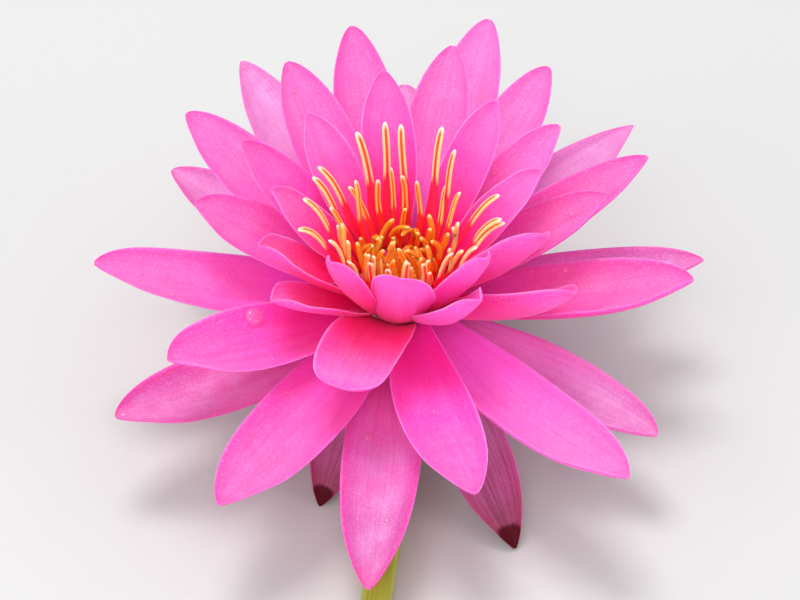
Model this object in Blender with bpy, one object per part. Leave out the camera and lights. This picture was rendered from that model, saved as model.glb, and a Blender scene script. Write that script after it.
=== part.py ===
"""Water lily flower, picked with a short stem: sepals, spiral petals, stamen whorls, pistil and stem.

Blender 4.5, metres, +Z up. The flower is laid out round its own axis in millimetres and hung on one
empty, flower_axis, which leans it forward a little. It stands on the tips of its sepals, and its soft
stem bends below the head and lies along the surface.
"""

import math
from dataclasses import dataclass

import bmesh
import bpy
import numpy as np

MM = 0.001

# How the flower head stands: the bottom of the ovary above the surface, and its lean towards -Y.
HEAD_PLACE = (-0.0009, 0.0093, 0.0250)
HEAD_LEAN = 6.0

# Shells and grids, mm and counts.
PETAL_THICKNESS = 0.8
SEPAL_THICKNESS = 1.0
LENGTH_STEPS = 9
WIDTH_STEPS = 4
SPINE_STEPS = 48

# A petal's outline: width of its foot, place of its widest point and width of its end, as shares.
FOOT_SHARE = 0.20
WIDEST_AT = 0.52
TIP_SHARE = 0.03

# Ovary, a cup that widens upwards, mm.
OVARY_BOTTOM_RADIUS = 5.6
OVARY_WIDENING = 0.42  # radius gained per mm of height
OVARY_HEIGHT = 12.4
FOOT_GAP = 1.0  # petals stand this far off the ovary's wall
FIT_GAP = 0.3  # between the ovary and the pieces that sit on it

# Stigma disc, a shallow dish with a small knob in the middle: radius and height of its profile, mm.
DISC_PROFILE = (
    (0.0, 12.7),
    (5.2, 12.7),
    (5.8, 13.4),
    (5.6, 14.4),
    (4.2, 13.9),
    (1.4, 13.4),
    (1.1, 14.2),
    (0.0, 14.5),
)

# Stem, mm.
STEM_RADIUS = 3.3
STEM_BEND_RADIUS = 16.5
STEM_END_Y = -80.0
STEM_DRIFT_X = -5.6
ROUND_SIDES = 32

PINK = (0.90, 0.11, 0.42, 1.0)
PALE_PINK = (0.85, 0.30, 0.55, 1.0)
SEPAL_PINK = (0.62, 0.24, 0.38, 1.0)
ANTHER_ORANGE = (1.0, 0.42, 0.05, 1.0)
PISTIL_YELLOW = (0.85, 0.55, 0.08, 1.0)
STEM_GREEN = (0.45, 0.50, 0.08, 1.0)


@dataclass(frozen=True)
class Petal:
    """One petal or sepal. Angles in degrees, lengths in mm."""

    name: str
    foot: float  # height of its foot on the ovary
    azimuth: float  # round the flower's axis, 0 along +X and 90 along +Y
    rise: float  # climb of the straight line from foot to tip
    length: float  # along the midrib
    width: float  # across the widest place, laid flat
    arch: float = -16.0  # how far the midrib turns over outwards; below 0 it curls up
    cup: float = 38.0  # how far each half turns up at its edge
    roll: float = 0.0  # turn about the midrib, which lifts the anticlockwise edge
    sway: float = 0.0  # sideways bend of the midrib, anticlockwise from above
    point: float = 0.75  # 0.5 is a round tip and 1 a sharp one


PETALS = (
    Petal("sepal_front_right", 0.8, 295.5, -20.4, 56, 17, arch=14, point=0.85),
    Petal("sepal_front_left", 0.8, 246, -29.1, 43, 15, arch=10, point=0.85),
    Petal("sepal_back_left", 0.8, 135, -33.8, 52, 18, arch=14, point=0.85),
    Petal("sepal_back_right", 0.8, 50, -34.2, 52, 18, arch=14, point=0.85),
    Petal("petal_01", 2.6, 327, -2, 60, 19),
    Petal("petal_02", 2.2, 11.5, 0, 65, 18),
    Petal("petal_03", 3.0, 41, 8.5, 67, 17),
    Petal("petal_04", 2.4, 89, 3, 63, 18),
    Petal("petal_05", 3.0, 119.5, 10, 72, 18),
    Petal("petal_06", 2.2, 140, -2, 65, 18),
    Petal("petal_07", 2.6, 208, 0, 64, 20, arch=-30, sway=-6),
    Petal("petal_08", 2.2, 265, -3, 69.5, 18, arch=2),
    Petal("petal_09", 4.6, 179, 10, 62, 19, arch=-26),
    Petal("petal_10", 4.6, 239, 5, 66, 20, arch=-20, sway=-6),
    Petal("petal_11", 4.6, 309, 8, 69, 19, arch=-28, sway=8),
    Petal("petal_12", 4.4, 358, 9, 59, 19, arch=-28),
    Petal("petal_13", 4.8, 28, 15, 59, 17, arch=-24),
    Petal("petal_14", 4.2, 73.5, 17, 71, 18),
    Petal("petal_15", 4.8, 100, 23, 63, 17),
    Petal("petal_16", 4.6, 140, 18, 60, 18, arch=-20),
    Petal("petal_17", 5.4, 211.5, 15, 52, 20, arch=-26),
    Petal("petal_18", 6.6, 284, 8, 57, 18, sway=14),
    Petal("petal_19", 6.8, 19, 20, 43, 16, arch=-20),
    Petal("petal_20", 6.4, 57, 20, 59, 17),
    Petal("petal_21", 7.0, 77, 30, 53, 16),
    Petal("petal_22", 6.8, 118.5, 30, 53, 17),
    Petal("petal_23", 6.6, 164, 22, 42, 17, arch=-20),
    Petal("petal_24", 6.2, 255, 22, 35, 20, arch=24, point=0.6),
    Petal("petal_25", 7.6, 212, 34, 28, 15, arch=-24, cup=55, roll=10),
    Petal("petal_26", 9.0, 191, 43, 29, 15, arch=-24, cup=55, roll=10),
    Petal("petal_27", 6.0, 335, 32, 39, 19, arch=-44, cup=62, roll=-10, sway=24),
    Petal("petal_28", 8.6, 351, 45, 32, 16, arch=-36, cup=75, roll=-20),
    Petal("petal_29", 8.6, 38, 33, 43, 15, cup=45),
    Petal("petal_30", 8.8, 147, 35, 40, 15, cup=45),
    Petal("petal_31", 10.8, 231, 64, 30, 11, arch=-20, cup=50),
    Petal("petal_32", 8.2, 271, 66, 30, 15, arch=-24, cup=50, point=0.55),
    Petal("petal_33", 7.0, 304, 50, 34, 15, arch=-30, cup=62, roll=-4, sway=20),
    Petal("petal_34", 9.8, 317, 61, 31, 12, arch=-20, cup=60, roll=-10),
    Petal("petal_35", 10.8, 22, 44, 32, 13, cup=45),
    Petal("petal_36", 10.6, 54.5, 45, 38, 13, cup=45),
    Petal("petal_37", 10.9, 96, 50, 40, 14, cup=45),
    Petal("petal_38", 10.6, 126, 45, 35, 13, cup=45),
    Petal("petal_39", 10.8, 160, 44, 27, 12, cup=45),
)


@dataclass(frozen=True)
class Whorl:
    """One ring of stamens on a common collar. Angles in degrees, lengths in mm."""

    name: str
    count: int
    radius: float  # of the collar's middle
    first: float  # azimuth of the first stamen
    back_length: float  # of the stamens towards +Y
    front_length: float  # of the stamens towards -Y
    width: float
    rise: float  # climb at the foot, 90 is straight up
    curl: float  # how far it turns inwards by its tip


WHORLS = (
    Whorl("stamens_outer", 19, 10.2, 5, 29, 14, 2.5, 58, 22),
    Whorl("stamens_middle", 19, 8.95, 14, 15, 9, 1.7, 68, 40),
    Whorl("stamens_inner", 17, 7.7, 3, 11, 9, 1.3, 78, 70),
    Whorl("stamens_innermost", 15, 6.75, 12, 8, 7, 1.1, 92, 70),
)
COLLAR_WIDTH = 0.9
COLLAR_HEIGHT = 0.8
STAMEN_STEPS = 5


def ovary_radius(height):
    """Radius of the ovary's wall at a height above its bottom."""
    return OVARY_BOTTOM_RADIUS + OVARY_WIDENING * height


def outline(s, point):
    """Half-width of a petal at share s of its length, as a share of its widest half-width."""
    below = FOOT_SHARE + (1 - FOOT_SHARE) * np.sin(np.pi / 2 * np.clip(s / WIDEST_AT, 0, 1)) ** 1.1
    past = np.clip((s - WIDEST_AT) / (1 - WIDEST_AT), 0, 1)
    above = np.maximum((1 - past**2.2) ** point, TIP_SHARE)
    return np.where(s < WIDEST_AT, below, above)


def heading(climb, azimuth):
    """Unit vectors that climb by one angle and point round the axis by another, both in radians."""
    level = np.cos(climb)
    return np.stack([level * np.cos(azimuth), level * np.sin(azimuth), np.sin(climb)], axis=-1)


def petal_surface(petal, s, v):
    """Points of the petal's inner face, mm in the flower's own frame, at shares s along and v across."""
    fine = np.linspace(0, 1, SPINE_STEPS + 1)
    middle = (fine[1:] + fine[:-1]) / 2
    climb = np.radians(petal.rise + petal.arch * (0.5 - middle))
    azimuth = np.radians(petal.azimuth + petal.sway * (middle - 0.5))
    steps = petal.length / SPINE_STEPS * heading(climb, azimuth)
    foot = math.radians(petal.azimuth)
    radius = ovary_radius(petal.foot) + FOOT_GAP
    start = np.array([radius * math.cos(foot), radius * math.sin(foot), petal.foot])
    spine = start + np.vstack([np.zeros(3), np.cumsum(steps, axis=0)])
    place = np.stack([np.interp(s, fine, spine[:, k]) for k in range(3)], axis=-1)

    climb = np.radians(petal.rise + petal.arch * (0.5 - s))
    azimuth = np.radians(petal.azimuth + petal.sway * (s - 0.5))
    along = heading(climb, azimuth)
    level = np.stack([-np.sin(azimuth), np.cos(azimuth), np.zeros_like(azimuth)], axis=-1)
    upward = np.cross(along, level)
    turn = (np.radians(petal.roll) * np.clip(2.5 * s, 0, 1))[..., None]
    side = level * np.cos(turn) + upward * np.sin(turn)
    face = upward * np.cos(turn) - level * np.sin(turn)

    bend = np.radians(petal.cup)
    half = petal.width / 2 * outline(s, petal.point)
    across = (half * np.sin(v * bend) / bend)[..., None]
    lift = (half * (1 - np.cos(v * bend)) / bend)[..., None]
    return place + side * across + face * lift


def new_object(name, bm, colour, roughness, parent=None):
    """A smooth named object with its own Principled material, on the flower's axis or in the world."""
    bmesh.ops.recalc_face_normals(bm, faces=bm.faces)
    mesh = bpy.data.meshes.new(name)
    bm.to_mesh(mesh)
    bm.free()
    mesh.shade_smooth()
    material = bpy.data.materials.new(name)
    material.use_nodes = True
    shader = material.node_tree.nodes["Principled BSDF"]
    shader.inputs["Base Color"].default_value = colour
    shader.inputs["Roughness"].default_value = roughness
    mesh.materials.append(material)
    obj = bpy.data.objects.new(name, mesh)
    bpy.context.scene.collection.objects.link(obj)
    obj.parent = parent
    return obj


def build_petal(petal, parent):
    """A grid laid on the petal's inner face, given its thickness on the outer side."""
    grid = bmesh.new()
    bmesh.ops.create_grid(grid, x_segments=LENGTH_STEPS, y_segments=WIDTH_STEPS, size=1.0)
    for vertex in grid.verts:
        # Closer rows towards the tip, where the outline turns fastest.
        s = np.array(math.sin(math.pi / 4 * (vertex.co.x + 1)))
        vertex.co = petal_surface(petal, s, np.array(vertex.co.y)) * MM
    is_sepal = petal.name.startswith("sepal")
    colour = SEPAL_PINK if is_sepal else PALE_PINK if petal.foot < 4 else PINK
    obj = new_object(petal.name, grid, colour, 0.55, parent)
    shell = obj.modifiers.new("thickness", "SOLIDIFY")
    shell.thickness = (SEPAL_THICKNESS if is_sepal else PETAL_THICKNESS) * MM
    shell.offset = -1.0


def ring_of_points(bm, points):
    """Adds a loop of vertices at points given in mm."""
    return [bm.verts.new(np.asarray(point) * MM) for point in points]


def bridge(bm, first, second):
    """Joins two vertex loops of equal length with quads."""
    count = len(first)
    for k in range(count):
        after = (k + 1) % count
        bm.faces.new((first[k], first[after], second[after], second[k]))


def stamen_sections(whorl, azimuth):
    """Square sections of one stamen from its foot to its tip, as corner points in mm."""
    toward_back = (1 + math.sin(azimuth)) / 2
    length = whorl.front_length + (whorl.back_length - whorl.front_length) * toward_back
    out = np.array([math.cos(azimuth), math.sin(azimuth), 0.0])
    across = np.array([-math.sin(azimuth), math.cos(azimuth), 0.0])
    place = out * whorl.radius + np.array([0, 0, OVARY_HEIGHT + FIT_GAP + COLLAR_HEIGHT])
    sections = []
    for k in range(STAMEN_STEPS + 1):
        s = k / STAMEN_STEPS
        climb = math.radians(whorl.rise + whorl.curl * s**2)
        along = out * math.cos(climb) + np.array([0, 0, math.sin(climb)])
        inward = np.cross(across, along)
        if k:
            place = place + along * length / STAMEN_STEPS
        half_width = whorl.width / 2 * (1 - 0.62 * s)
        half_depth = COLLAR_WIDTH / 2 * (1 - 0.45 * s)
        if k == 0:
            inward = out
        elif np.dot(inward, out) < 0:
            inward = -inward
        sections.append([
            place + across * (a * half_width) + inward * (b * half_depth)
            for a, b in ((-1, -1), (1, -1), (1, 1), (-1, 1))
        ])
    return sections


def build_whorl(whorl, parent):
    """A collar whose stamens grow out of its upper faces, as one closed skin."""
    bm = bmesh.new()
    bottom = OVARY_HEIGHT + FIT_GAP
    lower, upper, stamens = [], [], []
    for k in range(whorl.count):
        azimuth = math.radians(whorl.first + 360 * k / whorl.count)
        sections = stamen_sections(whorl, azimuth)
        feet = ring_of_points(bm, sections[0])
        stamens.append([feet] + [ring_of_points(bm, points) for points in sections[1:]])
        # The foot's corners run inner-first: the collar passes through them from end to end.
        for inner, outer in ((0, 3), (1, 2)):
            upper.append((feet[inner], feet[outer]))
            pair = []
            for corner in (feet[inner], feet[outer]):
                pair.append(bm.verts.new((corner.co.x, corner.co.y, bottom * MM)))
            lower.append(tuple(pair))
    count = len(upper)
    for k in range(count):
        after = (k + 1) % count
        (ui, uo), (vi, vo) = upper[k], upper[after]
        (li, lo), (mi, mo) = lower[k], lower[after]
        bm.faces.new((li, mi, mo, lo))
        bm.faces.new((ui, vi, mi, li))
        bm.faces.new((uo, lo, mo, vo))
        if k % 2:
            bm.faces.new((ui, uo, vo, vi))
    for rings in stamens:
        for first, second in zip(rings, rings[1:]):
            bridge(bm, first, second)
        bm.faces.new(rings[-1])
    new_object(whorl.name, bm, ANTHER_ORANGE, 0.45, parent)


def turned(profile, sides):
    """A closed skin turned round Z from (radius, height) points that begin and end on the axis."""
    bm = bmesh.new()
    angles = [2 * math.pi * k / sides for k in range(sides)]
    rings = []
    for radius, height in profile[1:-1]:
        rings.append(ring_of_points(bm, [(radius * math.cos(a), radius * math.sin(a), height) for a in angles]))
    for first, second in zip(rings, rings[1:]):
        bridge(bm, first, second)
    for ring, (_, height) in ((rings[0], profile[0]), (rings[-1], profile[-1])):
        (centre,) = ring_of_points(bm, [(0, 0, height)])
        for k in range(sides):
            bm.faces.new((ring[k], ring[(k + 1) % sides], centre))
    return bm


def build_pistil(parent):
    """The ovary cup and the stigma disc that lies in its mouth."""
    top = OVARY_HEIGHT
    profile = [(0, 0), (3.9, 0)]
    profile += [(ovary_radius(height), height) for height in (0.6, 4, 8)]
    profile += [(ovary_radius(top) - 0.5, top), (6.4, top), (0, top)]
    new_object("ovary", turned(profile, ROUND_SIDES), PISTIL_YELLOW, 0.5, parent)
    new_object("stigma_disc", turned(DISC_PROFILE, ROUND_SIDES), PISTIL_YELLOW, 0.4, parent)


def stem_path():
    """Middle line of the stem, mm in the world, from under the ovary to its cut end."""
    lean = math.radians(HEAD_LEAN)
    head = np.array(HEAD_PLACE) / MM
    down = np.array([0.0, math.sin(lean), -math.cos(lean)])
    start = head + down * FIT_GAP
    sweep = math.pi / 2 + lean
    # The bend has to end level at the height of the stem's radius; a straight piece makes up the rest.
    fall = start[2] - STEM_RADIUS - STEM_BEND_RADIUS * (1 - math.cos(sweep)) / math.sin(math.pi / 2)
    first = start + down * max(fall / math.cos(lean), 0.2)
    centre = first + STEM_BEND_RADIUS * np.array([0.0, -math.cos(lean), -math.sin(lean)])
    points = [start]
    for k in range(13):
        angle = sweep * k / 12
        arm = np.array([0.0, math.cos(lean - angle), math.sin(lean - angle)])
        points.append(centre + STEM_BEND_RADIUS * arm)
    flat_from = points[-1][1]
    for share in (0.15, 0.3, 0.45, 0.6, 0.75, 0.9, 1.0):
        points.append(np.array([head[0], flat_from + (STEM_END_Y - flat_from) * share, points[13][2]]))
    for point in points:
        run = np.clip((point[1] - flat_from) / (STEM_END_Y - flat_from), 0, 1)
        point[0] += STEM_DRIFT_X * run * run * (3 - 2 * run)
    return points


def build_stem():
    """A round stem swept along its path, level at both ends of every section."""
    path = stem_path()
    bm = bmesh.new()
    rings = []
    sides = ROUND_SIDES // 2
    for k, point in enumerate(path):
        ahead = path[min(k + 1, len(path) - 1)] - path[max(k - 1, 0)]
        ahead /= np.linalg.norm(ahead)
        side = np.cross(ahead, (0.0, ahead[2], -ahead[1]))
        side /= np.linalg.norm(side)
        over = np.cross(side, ahead)
        angles = [2 * math.pi * j / sides for j in range(sides)]
        rings.append(ring_of_points(bm, [
            point + STEM_RADIUS * (math.cos(a) * over + math.sin(a) * side) for a in angles
        ]))
    for first, second in zip(rings, rings[1:]):
        bridge(bm, first, second)
    bm.faces.new(rings[0])
    bm.faces.new(rings[-1])
    new_object("stem", bm, STEM_GREEN, 0.5)


def main():
    """Clears the scene and builds the flower."""
    for obj in list(bpy.data.objects):
        bpy.data.objects.remove(obj)
    axis = bpy.data.objects.new("flower_axis", None)
    axis.location = HEAD_PLACE
    axis.rotation_euler = (math.radians(HEAD_LEAN), 0.0, 0.0)
    bpy.context.scene.collection.objects.link(axis)
    for petal in PETALS:
        build_petal(petal, axis)
    for whorl in WHORLS:
        build_whorl(whorl, axis)
    build_pistil(axis)
    build_stem()


main()
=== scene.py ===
"""Water lily flower, freshly picked: cupped pink petals in a spiral, gold stamens, and a short stem.

Every piece is laid out in millimetres round the flower's own axis, as the frame is, and is brought
into the world in its mesh. Petals and sepals are closed skins swept by one rule; stamens and water
beads come from Geometry Nodes.
"""

from __future__ import annotations

import sys
import logging  # noqa: E402
import math  # noqa: E402
from dataclasses import dataclass, field, replace  # noqa: E402
from enum import Enum  # noqa: E402
from typing import Any, Iterable, Mapping, Sequence  # noqa: E402

import bpy  # noqa: E402
import numpy as np  # noqa: E402
from mathutils import Matrix, Vector  # noqa: E402


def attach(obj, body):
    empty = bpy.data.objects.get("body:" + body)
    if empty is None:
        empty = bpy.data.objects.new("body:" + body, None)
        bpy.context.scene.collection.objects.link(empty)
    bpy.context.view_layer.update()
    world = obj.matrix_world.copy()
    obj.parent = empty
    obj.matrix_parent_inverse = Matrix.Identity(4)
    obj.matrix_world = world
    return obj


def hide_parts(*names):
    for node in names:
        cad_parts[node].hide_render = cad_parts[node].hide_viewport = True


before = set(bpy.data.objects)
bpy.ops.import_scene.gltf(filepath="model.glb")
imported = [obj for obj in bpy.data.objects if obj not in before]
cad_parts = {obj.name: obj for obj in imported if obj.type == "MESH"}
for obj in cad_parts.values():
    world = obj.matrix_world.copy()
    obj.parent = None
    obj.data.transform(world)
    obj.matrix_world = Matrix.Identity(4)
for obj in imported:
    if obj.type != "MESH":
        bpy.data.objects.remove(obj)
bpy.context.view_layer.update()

log = logging.getLogger("water_lily")

MM = 0.001
BODY = "root"

# How the flower head stands, as in the frame: bottom of the ovary in metres, and its lean towards -Y.
HEAD_PLACE = Vector((-0.0009, 0.0093, 0.0250))
HEAD_LEAN = math.radians(6.0)
HEAD = Matrix.Translation(HEAD_PLACE) @ Matrix.Rotation(HEAD_LEAN, 4, "X")

# The ovary's cup, mm.
OVARY_BOTTOM_RADIUS = 5.6
OVARY_WIDENING = 0.42
OVARY_HEIGHT = 12.4
FOOT_GAP = 1.0  # from the ovary's wall to a blade's foot

# Each blade's number of its own steps on by the golden share, so that neighbours never match.
GOLDEN_STEP = 0.618


# ---------------------------------------------------------------------------------------------
# Colours, nodes and pieces
# ---------------------------------------------------------------------------------------------


def linear(code: str, alpha: float = 1.0) -> tuple[float, float, float, float]:
    """Turns an sRGB hex colour into the linear values that a shader takes.

    Args:
        code: The colour as "#RRGGBB".
        alpha: The fourth value.

    Returns:
        Red, green, blue and alpha.
    """
    values = [int(code[k : k + 2], 16) / 255 for k in (1, 3, 5)]
    red, green, blue = (c / 12.92 if c <= 0.04045 else ((c + 0.055) / 1.055) ** 2.4 for c in values)
    return red, green, blue, alpha


def add(
    tree: bpy.types.NodeTree,
    kind: str,
    settings: Mapping[str, Any] | None = None,
    links: Mapping[str | int, Any] | None = None,
) -> bpy.types.Node:
    """Adds a node with its settings and what runs into its sockets.

    Args:
        tree: The shader or geometry tree.
        kind: The node's type name.
        settings: Properties of the node, by name.
        links: For each input, by name or number, an output socket or a plain value.

    Returns:
        The new node.
    """
    node = tree.nodes.new(kind)
    for name, value in (settings or {}).items():
        setattr(node, name, value)
    for name, value in (links or {}).items():
        socket = node.inputs[name]
        if isinstance(value, bpy.types.NodeSocket):
            tree.links.new(value, socket)
        else:
            socket.default_value = value
    return node


def ramp(
    tree: bpy.types.NodeTree, factor: bpy.types.NodeSocket, stops: Sequence[tuple[float, str]]
) -> bpy.types.NodeSocket:
    """Lays a row of colours along a factor.

    Args:
        tree: The shader tree.
        factor: What the colours run along.
        stops: Places from 0 to 1, each with its sRGB hex colour.

    Returns:
        The colour socket.
    """
    node = add(tree, "ShaderNodeValToRGB", {}, {"Fac": factor})
    node.color_ramp.interpolation = "EASE"
    elements = node.color_ramp.elements
    while len(elements) < len(stops):
        elements.new(0.5)
    for element, (place, code) in zip(elements, stops):
        element.position = place
        element.color = linear(code)
    return node.outputs["Color"]


def blend_colours(
    tree: bpy.types.NodeTree, factor: Any, first: Any, second: Any, mode: str = "MIX"
) -> bpy.types.NodeSocket:
    """Mixes two colours, each a socket or a plain value.

    Args:
        tree: The shader tree.
        factor: How much of the second colour shows.
        first: The colour below.
        second: The colour on top.
        mode: How they mix.

    Returns:
        The colour socket.
    """
    node = tree.nodes.new("ShaderNodeMix")
    node.data_type = "RGBA"
    node.blend_type = mode
    for socket, value in ((node.inputs[0], factor), (node.inputs[6], first), (node.inputs[7], second)):
        if isinstance(value, bpy.types.NodeSocket):
            tree.links.new(value, socket)
        else:
            socket.default_value = value
    return node.outputs[2]


def calculate(tree: bpy.types.NodeTree, operation: str, *values: Any) -> bpy.types.NodeSocket:
    """Adds a Math node and returns its value. Each value is a socket or a number."""
    return add(tree, "ShaderNodeMath", {"operation": operation}, dict(enumerate(values))).outputs[0]


def product(tree: bpy.types.NodeTree, first: Any, *others: Any) -> bpy.types.NodeSocket:
    """Multiplies values in turn.

    Args:
        tree: The shader or geometry tree.
        first: A socket or a number.
        others: More of them.

    Returns:
        The socket of the result.
    """
    for other in others:
        first = calculate(tree, "MULTIPLY", first, other)
    return first


def between(
    tree: bpy.types.NodeTree,
    value: bpy.types.NodeSocket,
    low: Any,
    high: Any,
    start: float = 0.0,
    end: float = 1.0,
) -> bpy.types.NodeSocket:
    """Eases from start to end while value goes from low to high, and returns the result."""
    links = {"Value": value, "From Min": low, "From Max": high, "To Min": start, "To Max": end}
    return add(tree, "ShaderNodeMapRange", {"interpolation_type": "SMOOTHSTEP"}, links).outputs[0]


def stored(tree: bpy.types.NodeTree, name: str) -> bpy.types.NodeSocket:
    """Reads a number that the mesh holds for each point."""
    return add(tree, "ShaderNodeAttribute", {"attribute_name": name}).outputs["Fac"]


def object_place(tree: bpy.types.NodeTree) -> bpy.types.NodeSocket:
    """The shaded point's place, in metres."""
    return add(tree, "ShaderNodeTexCoord").outputs["Object"]


def skin_place(tree: bpy.types.NodeTree) -> tuple[bpy.types.NodeSocket, bpy.types.NodeSocket]:
    """The two numbers of the UV map called skin: across and along."""
    uv = add(tree, "ShaderNodeUVMap", {"uv_map": "skin"}).outputs["UV"]
    split = add(tree, "ShaderNodeSeparateXYZ", {}, {0: uv})
    return split.outputs["X"], split.outputs["Y"]


def noise(
    tree: bpy.types.NodeTree, vector: bpy.types.NodeSocket, scale: float, detail: float = 2.0, **more: float
) -> bpy.types.NodeSocket:
    """Adds a Noise node and returns its value. Its other inputs are given by name."""
    links = {"Vector": vector, "Scale": scale, "Detail": detail, **more}
    return add(tree, "ShaderNodeTexNoise", {}, links).outputs["Fac"]


def emboss(
    tree: bpy.types.NodeTree, shader: bpy.types.Node, *layers: tuple[float, float, bpy.types.NodeSocket]
) -> None:
    """Gives a shader its fine relief.

    Args:
        tree: The shader tree.
        shader: The Principled shader.
        layers: Strength from 0 to 1, depth in metres and height socket of each bump, the coarse one first.
    """
    links: dict[str, Any] = {}
    for strength, distance, height in layers:
        links |= {"Strength": strength, "Distance": distance, "Height": height}
        links["Normal"] = add(tree, "ShaderNodeBump", {}, links).outputs["Normal"]
    tree.links.new(links["Normal"], shader.inputs["Normal"])


def set_sockets(shader: bpy.types.Node, values: Mapping[str, Any]) -> None:
    """Sets the shader's own sockets that are the same all over the surface."""
    for name, value in values.items():
        shader.inputs[name].default_value = value


def new_material(name: str) -> tuple[bpy.types.Material, bpy.types.NodeTree, bpy.types.Node]:
    """Starts a material and returns it with its tree and its Principled shader.

    Args:
        name: The finish.

    Returns:
        The material, its tree and its shader.
    """
    material = bpy.data.materials.new(name)
    material.use_nodes = True
    tree = material.node_tree
    return material, tree, tree.nodes["Principled BSDF"]


def mesh_from(
    name: str, points: np.ndarray, faces: Iterable[Sequence[int]], placed: Matrix | None = None
) -> bpy.types.Mesh:
    """Makes a smooth mesh from points in millimetres.

    Args:
        name: The mesh's name.
        points: One row of x, y and z for each point.
        faces: The point numbers of each face, anticlockwise as seen from outside.
        placed: Where the piece's own frame lies in the world, or None when the points are there already.

    Returns:
        The mesh, in metres in the world.
    """
    mesh = bpy.data.meshes.new(name)
    mesh.from_pydata((points * MM).tolist(), [], [[int(k) for k in face] for face in faces])
    if placed is not None:
        mesh.transform(placed)
    mesh.shade_smooth()
    mesh.update()
    return mesh


def point_attribute(mesh: bpy.types.Mesh, name: str, values: np.ndarray) -> None:
    """Stores one number for each point of a mesh."""
    layer = mesh.attributes.new(name, "FLOAT", "POINT")
    layer.data.foreach_set("value", np.asarray(values, np.float32).ravel())


def skin_map(mesh: bpy.types.Mesh, values: np.ndarray) -> None:
    """Stores a UV map called skin from one pair of numbers for each point.

    Args:
        mesh: The mesh that gets it.
        values: One row of across and along for each point.
    """
    layer = mesh.uv_layers.new(name="skin")
    corners = np.empty(len(mesh.loops), np.int32)
    mesh.loops.foreach_get("vertex_index", corners)
    layer.data.foreach_set("uv", values[corners].astype(np.float32).ravel())


def fit_piece(
    name: str,
    mesh: bpy.types.Mesh,
    material: bpy.types.Material,
    stands_for: Sequence[str] = (),
) -> bpy.types.Object:
    """Puts a finished mesh on the flower's one body.

    Args:
        name: The piece's name.
        mesh: Its mesh, already in the world.
        material: Its finish.
        stands_for: The frame's nodes that it takes the place of.

    Returns:
        The piece's object.
    """
    if not mesh.materials:
        mesh.materials.append(material)
    piece = bpy.data.objects.new(name, mesh)
    bpy.context.scene.collection.objects.link(piece)
    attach(piece, BODY)
    if stands_for:
        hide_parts(*stands_for)
    log.info("%s: %d faces", name, len(mesh.polygons))
    return piece


# ---------------------------------------------------------------------------------------------
# Finishes
# ---------------------------------------------------------------------------------------------


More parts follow.
